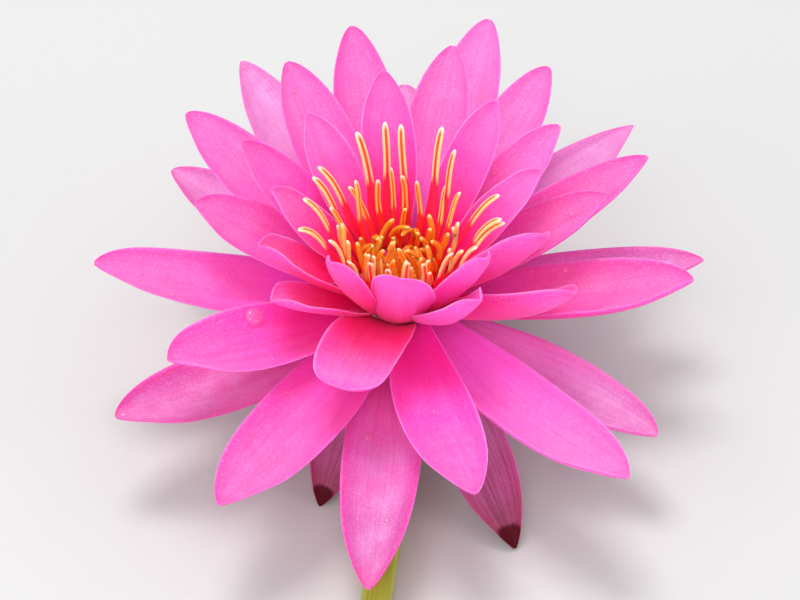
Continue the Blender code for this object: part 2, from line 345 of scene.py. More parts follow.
@dataclass(frozen=True)
class PetalSkin:
    """Living petal: a satin epidermis of tiny domed cells over veined, half-clear tissue."""

    name: str
    inside: tuple[tuple[float, str], ...]  # colours from foot to tip on the face towards the stamens
    outside: tuple[tuple[float, str], ...]  # the same on the back
    margin: str  # the band along the edges, where the pigment is strongest
    margin_strength: float = 0.45
    margin_from: float = 0.55  # share of the half-width where the band begins
    rim: str = "#FFA4DA"  # the thin edge itself, where the tissue is clearest
    rim_strength: float = 0.3
    bloom: str = "#F2A8E2"  # painted sheen: the pale lilac reflection of the sky, laid in soft patches down the middle
    painted_sheen_strength: float = 0.20
    flush: str = "#F60476"  # the strongest pigment
    drift: float = 0.16  # share of the length by which a colour's place wanders
    tip: str = "#5A0A20"
    tip_from: float = 2.0  # share of the length from which the tip has a colour of its own
    vein: str = "#E884BC"
    vein_strength: float = 0.22
    roughness: float = 0.46
    gloss: float = 0.34
    sheen: float = 0.20  # the velvet look of the domed cells
    sparkle: float = 0.15

    GLINT = "#FFDCF4"  # what the cells and fibres throw back
    FIBRE_STRENGTH = 0.09

    def build(self) -> bpy.types.Material:
        """Builds the material and returns it."""
        material, tree, shader = new_material(self.name)
        across, along = skin_place(tree)
        side, tone, pale, flush = (stored(tree, name) for name in ("side", "tone", "pale", "flush"))
        place = object_place(tree)
        from_middle = calculate(tree, "ABSOLUTE", calculate(tree, "MULTIPLY_ADD", across, 2.0, -1.0))

        # Pigment drifts in clouds about 8 mm wide, so no colour band crosses a petal in a straight line.
        drift = noise(tree, place, 120.0)
        shift = calculate(tree, "MULTIPLY_ADD", drift, self.drift, -self.drift / 2)
        shifted = calculate(tree, "ADD", along, shift)
        inside, outside = (ramp(tree, shifted, stops) for stops in (self.inside, self.outside))
        colour = blend_colours(tree, side, inside, outside)

        # Some petals are flushed with red magenta, which thins out just before the tip.
        flushed = product(tree, flush, between(tree, along, 0.55, 0.98, 1.0, 0.25))
        colour = blend_colours(tree, flushed, colour, linear(self.flush))

        # The margin, 1 to 2 mm wide, and the last few millimetres before the tip hold more pigment.
        edge = between(tree, from_middle, self.margin_from, 1.0)
        edge = product(tree, edge, between(tree, along, 0.1, 0.5))
        end = between(tree, along, 0.9, 1.0, 0.0, 0.7)
        edge = product(tree, calculate(tree, "MAXIMUM", edge, end), self.margin_strength)
        colour = blend_colours(tree, edge, colour, linear(self.margin))

        # Painted sheen: the sky's pale reflection, painted in soft patches 3 to 8 mm wide over an even veil,
        # down the middle and towards the tip.
        patches = between(tree, noise(tree, place, 190.0, 4.0, Roughness=0.55), 0.34, 0.70, 0.4, 1.0)
        middle = between(tree, from_middle, 0.3, 0.9, 1.0, 0.0)
        amount = product(tree, patches, middle, between(tree, along, 0.1, 0.65), self.painted_sheen_strength)
        colour = blend_colours(tree, amount, colour, linear(self.bloom))
        # Painted light: each blade's pale share lays the same painted sheen evenly over the whole blade.
        colour = blend_colours(tree, pale, colour, linear(self.bloom))

        # Veins run from foot to tip about 0.8 mm apart and draw together with the outline.
        def streaks(count: float, stretch: float, distortion: float) -> bpy.types.NodeSocket:
            """Long grains that follow the petal.

            Args:
                count: How many stand side by side across its width.
                stretch: How many follow each other along its length.
                distortion: How much they wander.

            Returns:
                The socket of their height.
            """
            x, y, z = product(tree, across, count), product(tree, along, stretch), product(tree, tone, 40.0)
            vector = add(tree, "ShaderNodeCombineXYZ", {}, {"X": x, "Y": y, "Z": z}).outputs[0]
            return noise(tree, vector, 1.0, Distortion=distortion)

        veins = between(tree, streaks(24.0, 1.6, 0.2), 0.46, 0.64)
        fibres = streaks(90.0, 9.0, 0.1)
        darker = blend_colours(tree, 1.0, colour, linear(self.vein), "MULTIPLY")
        colour = blend_colours(tree, product(tree, veins, self.vein_strength), colour, darker)
        strength = between(tree, along, 0.15, 0.75, 0.2, 1.0)
        light = product(tree, fibres, self.FIBRE_STRENGTH, strength)
        colour = blend_colours(tree, light, colour, linear(self.GLINT))

        # Domed cells are about 0.03 mm across; they are drawn at 0.35 mm so that their sparkle shows.
        grain = noise(tree, place, 2000.0, 3.0)
        light = product(tree, between(tree, grain, 0.5, 0.72, 0.0, self.sparkle), strength)
        colour = blend_colours(tree, light, colour, linear(self.GLINT))
        colour = blend_colours(tree, between(tree, grain, 0.5, 0.28, 0.0, 0.17), colour, darker)

        # The rim is a clear line a few tenths of a millimetre wide.
        rim = product(tree, between(tree, from_middle, 0.93, 1.0), self.rim_strength)
        colour = blend_colours(tree, rim, colour, linear(self.rim))
        if self.tip_from < 1:
            bowed = calculate(tree, "MULTIPLY_ADD", calculate(tree, "POWER", from_middle, 2.0), -0.03, along)
            bowed = calculate(tree, "ADD", bowed, calculate(tree, "MULTIPLY_ADD", drift, 0.04, -0.02))
            dipped = between(tree, bowed, self.tip_from, self.tip_from + 0.025, 0.0, 0.94)
            colour = blend_colours(tree, dipped, colour, linear(self.tip))
        tree.links.new(colour, shader.inputs["Base Color"])

        rough = between(tree, grain, 0.2, 0.8, self.roughness - 0.06, self.roughness + 0.10)
        tree.links.new(rough, shader.inputs["Roughness"])
        relief = calculate(tree, "ADD", product(tree, veins, -0.6), product(tree, fibres, 0.5))
        emboss(tree, shader, (0.3, 0.12 * MM, relief), (0.3, 0.06 * MM, grain))
        set_sockets(
            shader,
            {
                "IOR": 1.42,
                "Specular IOR Level": self.gloss,
                "Subsurface Weight": 0.8,
                "Subsurface Radius": (1.0, 0.45, 0.75),
                "Subsurface Scale": 1.8 * MM,
                "Sheen Weight": self.sheen,
                "Sheen Roughness": 0.45,
                "Sheen Tint": linear("#FFD8F2"),
            },
        )
        return material


@dataclass(frozen=True)
class StamenSkin:
    """Stamens: fleshy red filament passing into an orange blade edged by two pale gold pollen lines."""

    name: str
    foot: str
    blade: str
    pollen: str
    tip: str
    pollen_from: float  # share of the length where the pollen lines begin

    def build(self) -> bpy.types.Material:
        """Builds the material and returns it."""
        material, tree, shader = new_material(self.name)
        along, across = stored(tree, "along"), stored(tree, "across")
        start = self.pollen_from
        stops = ((0.0, self.foot), (start, self.foot), (start + 0.25, self.blade), (1.0, self.blade))
        colour = ramp(tree, along, stops)
        line = between(tree, calculate(tree, "ABSOLUTE", across), 0.24, 0.54)
        # Pollen sacs are powdery, with grains drawn at about 0.25 mm.
        dust = noise(tree, object_place(tree), 4200.0)
        begun = between(tree, along, start - 0.02, start + 0.08)
        line = product(tree, line, begun, between(tree, dust, 0.2, 0.45, 0.75, 1.0))
        colour = blend_colours(tree, line, colour, linear(self.pollen))
        colour = blend_colours(tree, between(tree, along, 0.93, 1.0, 0.0, 0.9), colour, linear(self.tip))
        tree.links.new(colour, shader.inputs["Base Color"])
        emboss(tree, shader, (0.35, 0.1 * MM, dust))
        set_sockets(
            shader,
            {
                "Roughness": 0.48,
                "IOR": 1.42,
                "Subsurface Weight": 0.9,
                "Subsurface Radius": (1.0, 0.6, 0.25),
                "Subsurface Scale": 2.4 * MM,
            },
        )
        return material


@dataclass(frozen=True)
class PistilSkin:
    """Stigma dish: moist orange-yellow tissue with darker furrows between its rays."""

    name: str = "moist_stigma_tissue"
    ray: str = "#F8A018"
    flank: str = "#F47A12"
    furrow: str = "#D43010"
    moist: str = "#FFD25A"

    def build(self) -> bpy.types.Material:
        """Builds the material and returns it."""
        material, tree, shader = new_material(self.name)
        stops = ((0.0, self.ray), (0.55, self.flank), (1.0, self.furrow))
        colour = ramp(tree, stored(tree, "furrow"), stops)
        grain = noise(tree, object_place(tree), 2500.0)
        colour = blend_colours(tree, product(tree, grain, 0.2), colour, linear(self.moist))
        tree.links.new(colour, shader.inputs["Base Color"])
        emboss(tree, shader, (0.4, 0.1 * MM, grain))
        set_sockets(
            shader,
            {
                "Roughness": 0.3,
                "IOR": 1.4,
                "Subsurface Weight": 0.3,
                "Subsurface Radius": (1.0, 0.5, 0.12),
                "Subsurface Scale": 1.5 * MM,
            },
        )
        return material


@dataclass(frozen=True)
class StemSkin:
    """Stem and ovary wall: smooth green rind with fine ribs and faint red flecks."""

    name: str
    rind: str
    shade: str
    blush: str
    blush_strength: float
    pith: str = "#D9DDA0"

    def build(self) -> bpy.types.Material:
        """Builds the material and returns it."""
        material, tree, shader = new_material(self.name)
        around, along = skin_place(tree)
        # Ribs round the stem are about 0.5 mm apart and run its whole length.
        x, y = product(tree, around, 42.0), product(tree, along, 5.0)
        vector = add(tree, "ShaderNodeCombineXYZ", {}, {"X": x, "Y": y}).outputs[0]
        ribs = noise(tree, vector, 1.0, 3.0)
        colour = blend_colours(tree, between(tree, ribs, 0.35, 0.7), linear(self.rind), linear(self.shade))
        flecks = between(tree, noise(tree, object_place(tree), 420.0, 5.0, Roughness=0.7), 0.5, 0.75)
        colour = blend_colours(tree, product(tree, flecks, self.blush_strength), colour, linear(self.blush))
        colour = blend_colours(tree, stored(tree, "pith"), colour, linear(self.pith))
        tree.links.new(colour, shader.inputs["Base Color"])
        emboss(tree, shader, (0.4, 0.12 * MM, ribs))
        set_sockets(
            shader,
            {
                "Roughness": 0.42,
                "IOR": 1.42,
                "Subsurface Weight": 0.18,
                "Subsurface Radius": (0.6, 1.0, 0.2),
                "Subsurface Scale": 1.5 * MM,
            },
        )
        return material


@dataclass(frozen=True)
class BeadWater:
    """A water bead: mirror smooth, half clear, with the pink of the petal round it painted on as its colour.
    """

    name: str = "clear_water"
    # Painted reflection: water is clear, and the pink of the petal below, seen through and mirrored in the
    # bead, is painted on as its colour.
    body: str = "#FF88C8"
    alpha: float = 0.36

    def build(self) -> bpy.types.Material:
        """Builds the material and returns it."""
        material, _, shader = new_material(self.name)
        numbers = {"Alpha": self.alpha, "Roughness": 0.02, "IOR": 1.5, "Specular IOR Level": 1.0}
        set_sockets(shader, {"Base Color": linear(self.body), **numbers})
        return material


@dataclass(frozen=True)
class StudioPaper:
    """Pale matt paper under the flower."""

    name: str = "studio_paper"
    colour: str = "#CBCAC8"

    def build(self) -> bpy.types.Material:
        """Builds the material and returns it."""
        material, tree, shader = new_material(self.name)
        emboss(tree, shader, (0.08, 0.2 * MM, noise(tree, object_place(tree), 900.0)))
        set_sockets(shader, {"Base Color": linear(self.colour), "Roughness": 0.85})
        return material


# ---------------------------------------------------------------------------------------------
# Petals and sepals
# ---------------------------------------------------------------------------------------------


class Bloom(Enum):
    """Where a blade stands in the spiral, which sets its colouring."""

    SEPAL = "sepal"
    PALE = "petal_pale"
    PINK = "petal_pink"
    DEEP = "petal_deep"
    HEART = "petal_heart"

    @property
    def slot(self) -> str:
        """The record's material slot for it."""
        return "petal_pink" if self in (Bloom.DEEP, Bloom.HEART) else self.value


@dataclass(frozen=True)
class Blade:
    """One petal or sepal. Angles in degrees, lengths in mm, and the sizes are the frame's."""

    name: str
    bloom: Bloom
    foot: float  # height of its foot on the ovary
    azimuth: float
    rise: float  # climb of the straight line from foot to tip
    length: float
    width: float
    arch: float = -16.0  # how far the midrib turns over outwards; below 0 it curls up
    cup: float = 38.0  # how far each half turns up at its edge
    roll: float = 0.0
    sway: float = 0.0
    point: float = 0.6
    widest_at: float = 0.52
    foot_share: float = 0.45  # width of its foot as a share of its width
    hood: float = 0.5  # how much more it cups at the very tip
    fold: tuple[float, float] = (0.0, 0.0)  # how far the clockwise and the other margin roll in
    wave: float = 0.35  # mm that the margins wander
    pale: float = 0.0  # share of the painted sheen laid evenly over the whole blade, as painted light
    flush: float = 0.0  # share of the strongest pigment
    tone: float = 0.5  # number of its own that its small unevenness comes from

    TIP_SHARE = 0.03  # width of its very tip as a share of its width
    ROLL_RATE = 2.5  # the roll is complete at 1 over this share of the length
    HOOD_FROM = 0.78  # share of the length where the tip begins to cup more
    FOLD_FROM = 0.12  # share of the length where a margin begins to roll in
    FOLD_OVER = 0.4  # and the share over which it does so
    EDGE_TAPER = 0.22  # thickness of the margin as a share of the middle's
    TIP_THINNING = 0.45  # share of the thickness lost by the tip
    SPINE_STEPS = 48
    ARC_STEPS = 20

    @property
    def thickness(self) -> float:
        """Thickness at the midrib, mm."""
        return 0.9 if self.bloom is Bloom.SEPAL else 0.7

    def outline(self, s: np.ndarray) -> np.ndarray:
        """Half-width at share s of the length, as a share of the widest half-width.

        Args:
            s: Shares of the length, from foot to tip.

        Returns:
            The half-widths.
        """
        climb = np.sin(np.pi / 2 * np.clip(s / self.widest_at, 0, 1)) ** 1.1
        below = self.foot_share + (1 - self.foot_share) * climb
        past = np.clip((s - self.widest_at) / (1 - self.widest_at), 0, 1)
        above = np.maximum((1 - past**2.2) ** self.point, self.TIP_SHARE)
        return np.where(s < self.widest_at, below, above)

    def surface(self, s: np.ndarray, v: np.ndarray) -> np.ndarray:
        """Points of the inner face, mm in the flower's own frame.

        Args:
            s: Shares of the length, from foot to tip.
            v: Shares of the half-width, from -1 to 1 anticlockwise.

        Returns:
            The points, with x, y and z in the last axis.
        """
        fine = np.linspace(0, 1, self.SPINE_STEPS + 1)
        middle = (fine[1:] + fine[:-1]) / 2
        steps = self.length / self.SPINE_STEPS * self._direction(middle)
        foot = math.radians(self.azimuth)
        radius = OVARY_BOTTOM_RADIUS + OVARY_WIDENING * self.foot + FOOT_GAP
        start = np.array([radius * math.cos(foot), radius * math.sin(foot), self.foot])
        spine = start + np.vstack([np.zeros(3), np.cumsum(steps, axis=0)])
        place = np.stack([np.interp(s, fine, spine[:, k]) for k in range(3)], axis=-1)

        azimuth = np.radians(self.azimuth + self.sway * (s - 0.5))
        level = np.stack([-np.sin(azimuth), np.cos(azimuth), np.zeros_like(azimuth)], axis=-1)
        upward = np.cross(self._direction(s), level)
        turn = (np.radians(self.roll) * np.clip(self.ROLL_RATE * s, 0, 1))[..., None]
        side = level * np.cos(turn) + upward * np.sin(turn)
        face = upward * np.cos(turn) - level * np.sin(turn)

        late = np.clip((s - self.HOOD_FROM) / (1 - self.HOOD_FROM), 0, 1)
        bend = np.radians(self.cup) * (1 + self.hood * late * late * (3 - 2 * late))
        half = self.width / 2 * self.outline(s)
        growth = np.clip((s - self.FOLD_FROM) / self.FOLD_OVER, 0, 1)
        clockwise, other = (np.radians(angle) * growth for angle in self.fold)
        across, lift = np.zeros_like(half), np.zeros_like(half)
        for k in range(self.ARC_STEPS):
            part = v * (k + 0.5) / self.ARC_STEPS
            angle = part * bend + other * np.clip((part - 0.5) / 0.5, 0, 1) ** 2
            angle -= clockwise * np.clip((-part - 0.5) / 0.5, 0, 1) ** 2
            across += np.cos(angle) * v / self.ARC_STEPS
            lift += np.sin(angle) * v / self.ARC_STEPS
        lift = half * lift + self._relief(s, v)
        return place + side * (half * across)[..., None] + face * lift[..., None]

    def _direction(self, s: np.ndarray) -> np.ndarray:
        """Unit vectors along the midrib at shares s.

        Args:
            s: Shares of the length.

        Returns:
            The vectors, with x, y and z in the last axis.
        """
        climb = np.radians(self.rise + self.arch * (0.5 - s))
        azimuth = np.radians(self.azimuth + self.sway * (s - 0.5))
        level = np.cos(climb)
        return np.stack([level * np.cos(azimuth), level * np.sin(azimuth), np.sin(climb)], axis=-1)

    def _relief(self, s: np.ndarray, v: np.ndarray) -> np.ndarray:
        """Height of the blade's own modelling above its plain cupped shape, mm.

        Args:
            s: Shares of the length.
            v: Shares of the half-width.

        Returns:
            The midrib, flutes, wavy margins and soft dents, added up.
        """
        phase = 6.28 * (self.tone * 7.3 % 1.0)
        body = np.sin(np.pi * np.clip(s, 0, 1)) ** 0.6
        midrib = -0.22 * np.exp(-((v / 0.10) ** 2)) * body
        flutes = 0.07 * np.cos(v * 13.0 + phase) * body * (1 - v * v)
        margins = self.wave * v * v * np.sin(2 * np.pi * (1.35 * s) + phase + 1.2 * v) * body
        dents = 0.25 * np.sin(5.1 * s + 2.3 * v + phase) * np.sin(3.7 * s - 1.9 * v + 2 * phase) * body
        return midrib + flutes + margins + dents

    def mesh(self, along_steps: int = 56, across_steps: int = 20) -> bpy.types.Mesh:
        """Builds the closed skin: the inner face, the back, and the thin edge that joins them.

        Args:
            along_steps: Faces from foot to tip, closer together towards the tip.
            across_steps: Faces from one margin to the other.

        Returns:
            The mesh, with its skin map and the numbers that its finish reads.
        """
        s = np.sin(np.linspace(0, math.pi / 2, along_steps + 1))
        v = np.linspace(-1, 1, across_steps + 1)
        s_grid, v_grid = np.meshgrid(s, v, indexing="ij")
        inner = self.surface(s_grid, v_grid)
        lengthwise = np.gradient(inner, axis=0)
        crosswise = np.gradient(inner, axis=1)
        normal = np.cross(lengthwise, crosswise)
        normal /= np.linalg.norm(normal, axis=-1, keepdims=True) + 1e-12
        taper = self.EDGE_TAPER + (1 - self.EDGE_TAPER) * np.sqrt(np.clip(1 - v_grid**2, 0, 1))
        thickness = self.thickness * taper * (1 - self.TIP_THINNING * s_grid)
        outer = inner - normal * thickness[..., None]

        rows, columns = s_grid.shape
        number = np.arange(rows * columns).reshape(rows, columns)
        back = number + rows * columns
        a, b, c, d = number[:-1, :-1], number[1:, :-1], number[1:, 1:], number[:-1, 1:]
        faces = [np.stack([a, b, c, d], -1).reshape(-1, 4)]
        a, b, c, d = (back[:-1, :-1], back[:-1, 1:], back[1:, 1:], back[1:, :-1])
        faces.append(np.stack([a, b, c, d], -1).reshape(-1, 4))
        loop = np.concatenate([number[:, 0], number[-1, 1:], number[-2::-1, -1], number[0, -2:0:-1]])
        after = np.roll(loop, -1)
        faces.append(np.stack([after, loop, loop + rows * columns, after + rows * columns], -1))
        points = np.concatenate([inner.reshape(-1, 3), outer.reshape(-1, 3)])
        mesh = mesh_from(self.name, points, np.concatenate(faces), HEAD)
        pair = np.stack([(v_grid + 1) / 2, s_grid], -1).reshape(-1, 2)
        skin_map(mesh, np.concatenate([pair, pair]))
        point_attribute(mesh, "side", np.repeat([0.0, 1.0], rows * columns))
        for label in ("tone", "pale", "flush"):
            point_attribute(mesh, label, np.full(len(points), getattr(self, label)))
        return mesh

    def seat(self, s: float, v: float) -> tuple[np.ndarray, np.ndarray]:
        """Finds where something can sit on the inner face.

        Args:
            s: Share of the length.
            v: Share of the half-width, from -1 to 1.

        Returns:
            The point and the normal there, in metres in the world.
        """
        ss, vv = np.array([s, s + 0.01, s]), np.array([v, v, v + 0.02])
        points = self.surface(ss, vv)
        normal = np.cross(points[1] - points[0], points[2] - points[0])
        normal /= np.linalg.norm(normal)
        turn = np.array(HEAD.to_3x3())
        return turn @ (points[0] * MM) + np.array(HEAD_PLACE), turn @ normal


@dataclass
class Corolla:
    """All sepals and petals, from the drooping outer ones to the small upright inner ones."""

    blades: tuple[Blade, ...]
    finishes: dict[Bloom, PetalSkin]

    def toned(self) -> dict[str, Blade]:
        """The blades by name, each with a tone of its own."""
        return {b.name: replace(b, tone=(k * GOLDEN_STEP) % 1.0) for k, b in enumerate(self.blades)}

    def build(self) -> None:
        """Builds and dresses every blade."""
        materials = {bloom: finish.build() for bloom, finish in self.finishes.items()}
        for name, blade in self.toned().items():
            fit_piece("lily_" + name, blade.mesh(), materials[blade.bloom], [name])


S, L, P, D, H = Bloom.SEPAL, Bloom.PALE, Bloom.PINK, Bloom.DEEP, Bloom.HEART
BLADES = (
    Blade("sepal_front_right", S, 0.8, 295.5, -20.4, 56, 17, arch=14, point=0.8),
    Blade("sepal_front_left", S, 0.8, 246, -29.1, 43, 15, arch=10, point=0.8),
    Blade("sepal_back_left", S, 0.8, 135, -33.8, 52, 18, arch=14, point=0.8),
    Blade("sepal_back_right", S, 0.8, 50, -34.2, 52, 18, arch=14, point=0.8),
    Blade("petal_01", L, 2.6, 327, -2, 60, 19, fold=(50, 0), pale=0.16),
    Blade("petal_02", L, 2.2, 11.5, 0, 65, 18, fold=(60, 0), pale=0.10, point=0.75),
    Blade("petal_03", L, 3.0, 41, 8.5, 67, 17, pale=0.34, point=0.85),
    Blade("petal_04", L, 2.4, 89, 3, 63, 18, pale=0.28),
    Blade("petal_05", L, 3.0, 119.5, 10, 72, 18, pale=0.36, point=0.72),
    Blade("petal_06", L, 2.2, 140, -2, 65, 18, pale=0.16, point=0.68),
    Blade("petal_07", L, 2.6, 208, 0, 64, 21, arch=-30, sway=-6, flush=0.10),
    Blade("petal_08", L, 2.2, 265, -3, 69.5, 18.5, arch=2),
    Blade("petal_09", P, 4.6, 179, 10, 62, 19, arch=-26, flush=0.08),
    Blade("petal_10", P, 4.6, 239, 5, 66, 21, arch=-20, sway=-6, flush=0.18),
    Blade("petal_11", P, 4.6, 309, 8, 69, 20, arch=-28, sway=8, fold=(55, 0), pale=0.10),
    Blade("petal_12", P, 4.4, 358, 9, 59, 20, arch=-28, fold=(75, 0), flush=0.38),
    Blade("petal_13", P, 4.8, 28, 15, 59, 17, arch=-24, fold=(40, 0), flush=0.12, point=0.72),
    Blade("petal_14", P, 4.2, 73.5, 17, 71, 18, pale=0.16),
    Blade("petal_15", P, 4.8, 100, 23, 63, 17),
    Blade("petal_16", P, 4.6, 140, 18, 60, 18, arch=-20, pale=0.08),
    Blade("petal_17", D, 5.4, 211.5, 15, 52, 21, arch=-26, point=0.52, flush=0.14),
    Blade("petal_18", D, 6.3, 284, 8, 57, 18, sway=14, point=0.52, flush=0.06),
    Blade("petal_19", P, 6.8, 19, 20, 43, 16, arch=-20, fold=(40, 0)),
    Blade("petal_20", P, 6.4, 57, 20, 59, 17, pale=0.10),
    Blade("petal_21", P, 7.0, 77, 30, 53, 16, pale=0.12),
    Blade("petal_22", P, 6.8, 118.5, 30, 53, 17, pale=0.10),
    Blade("petal_23", P, 6.6, 164, 22, 42, 17, arch=-20, point=0.5),
    Blade(
        "petal_24", H, 6.6, 254, 22, 34.5, 20, arch=24, cup=26, hood=-0.4, sway=6, point=0.20,
        widest_at=0.62, foot_share=0.66, fold=(10, 50), flush=0.80,
    ),
    Blade(
        "petal_25", H, 7.6, 212, 34, 28, 15, arch=-24, cup=55, roll=10, point=0.48, foot_share=0.80,
        wave=0.15, flush=0.5,
    ),
    Blade("petal_26", H, 9.0, 191, 43, 29, 15, arch=-24, cup=55, roll=10, point=0.48, wave=0.15, flush=0.80),
    Blade(
        "petal_27", D, 6.0, 335, 32, 40, 19, arch=-44, cup=66, roll=-44, sway=24, point=0.5, hood=0.0,
        wave=0.15, flush=0.5,
    ),
    Blade("petal_28", D, 8.6, 351, 45, 32, 16, arch=-36, cup=70, roll=-52, point=0.5, wave=0.15, hood=0.0),
    Blade("petal_29", D, 8.6, 38, 33, 43, 15, cup=45, pale=0.20),
    Blade("petal_30", D, 8.8, 147, 35, 40, 15, cup=45),
    Blade(
        "petal_31", H, 10.3, 232, 64, 30, 12, arch=-20, cup=50, point=0.5, foot_share=0.75, wave=0.15,
        flush=0.65,
    ),
    Blade(
        "petal_32", H, 8.2, 270, 66, 30, 15.5, arch=-24, cup=40, roll=-8, sway=-10, point=0.42,
        widest_at=0.58, foot_share=0.7, hood=-0.25, wave=0.45,
    ),
    Blade(
        "petal_33", H, 7.0, 304, 50, 34, 15, arch=-30, cup=62, roll=-4, sway=20, point=0.5, foot_share=0.7,
        wave=0.15,
    ),
    Blade(
        "petal_34", H, 9.8, 317, 61, 31, 13, arch=-20, cup=60, roll=-10, point=0.5, foot_share=0.75,
        wave=0.15,
    ),
    Blade("petal_35", H, 10.8, 22, 44, 32, 13, cup=45, flush=0.10),
    Blade("petal_36", H, 10.6, 54.5, 45, 38, 13, cup=45),
    Blade("petal_37", H, 10.9, 96, 50, 40, 14, cup=45),
    Blade("petal_38", H, 10.6, 126, 45, 35, 13, cup=45, pale=0.08),
    Blade("petal_39", H, 10.8, 160, 44, 27, 12, cup=45, flush=0.25),
)

FINISHES = {
    # Sepal: leathery, dusky pink on its face with a maroon tip, bronze green behind.
    S: PetalSkin(
        "sepal_skin",
        inside=((0.0, "#D080B0"), (0.45, "#D890C4"), (0.72, "#BC5490"), (0.88, "#9C345E"), (1.0, "#5A0C22")),
        outside=((0.0, "#7C7A3C"), (0.5, "#7A5A3E"), (0.8, "#6A2A30"), (1.0, "#4A0B1C")),
        margin="#B8386C",
        margin_strength=0.3,
        rim="#D0588C",
        bloom="#CC94B8",
        painted_sheen_strength=0.15,
        drift=0.05,
        vein="#B07090",
        vein_strength=0.6,
        roughness=0.5,
        tip="#50000A",
        tip_from=0.885,
        gloss=0.12,
        sheen=0.02,
        sparkle=0.04,
    ),
    # Outer petal: broad and pale, its painted sheen of sky light nearly lilac white.
    L: PetalSkin(
        "outer_petal_skin",
        inside=(
            (0.0, "#FF78D2"), (0.25, "#FC62C6"), (0.5, "#E854B6"),
            (0.75, "#C4409A"), (0.93, "#C43C94"), (1.0, "#CC3088"),
        ),
        outside=((0.0, "#E0489C"), (0.5, "#F050AC"), (0.9, "#F050AC"), (1.0, "#D84090")),
        margin="#E82C90",
        margin_strength=0.8,
        margin_from=0.7,
        rim="#F048A4",
        rim_strength=0.5,
        bloom="#E4B0E0",
        painted_sheen_strength=0.42,
    ),
    # Main petal: clear hot pink, deeper towards its foot.
    P: PetalSkin(
        "pink_petal_skin",
        inside=(
            (0.0, "#FF34C8"), (0.25, "#FF48D0"), (0.5, "#FC48B8"),
            (0.75, "#F856AE"), (0.93, "#F858AC"), (1.0, "#F444A0"),
        ),
        outside=((0.0, "#F444A4"), (0.5, "#F854B8"), (0.9, "#FA5CBC"), (1.0, "#E850A8")),
        margin="#F638A4",
        rim="#FF84CC",
        rim_strength=0.22,
    ),
    # Deeper petal: magenta in its lower half.
    D: PetalSkin(
        "deep_petal_skin",
        inside=(
            (0.0, "#FF2EBE"), (0.25, "#FF1CA8"), (0.5, "#FF38BA"),
            (0.75, "#FE4CB4"), (0.93, "#FC52B0"), (1.0, "#F848A8"),
        ),
        outside=((0.0, "#FA3CA0"), (0.5, "#FC50C0"), (0.9, "#FC60CC"), (1.0, "#F850B8")),
        margin="#FC44AC",
        rim_strength=0.25,
        painted_sheen_strength=0.14,
    ),
    # Innermost petal: red magenta in the cup, pink only at the end.
    H: PetalSkin(
        "heart_petal_skin",
        inside=(
            (0.0, "#FF0464"), (0.22, "#FF068E"), (0.38, "#FF2C9C"), (0.55, "#FF46B8"),
            (0.78, "#FE66C2"), (0.92, "#FE70C2"), (1.0, "#FC60C0"),
        ),
        outside=((0.0, "#FC449C"), (0.5, "#FE56C4"), (0.9, "#FE60CC"), (1.0, "#FC58BE")),
        margin="#FE50B4",
        margin_strength=0.25,
        rim_strength=0.4,
        painted_sheen_strength=0.10,
        gloss=0.16,
        sheen=0.08,
        sparkle=0.11,
    ),
}


# ---------------------------------------------------------------------------------------------
# Geometry Nodes
# ---------------------------------------------------------------------------------------------


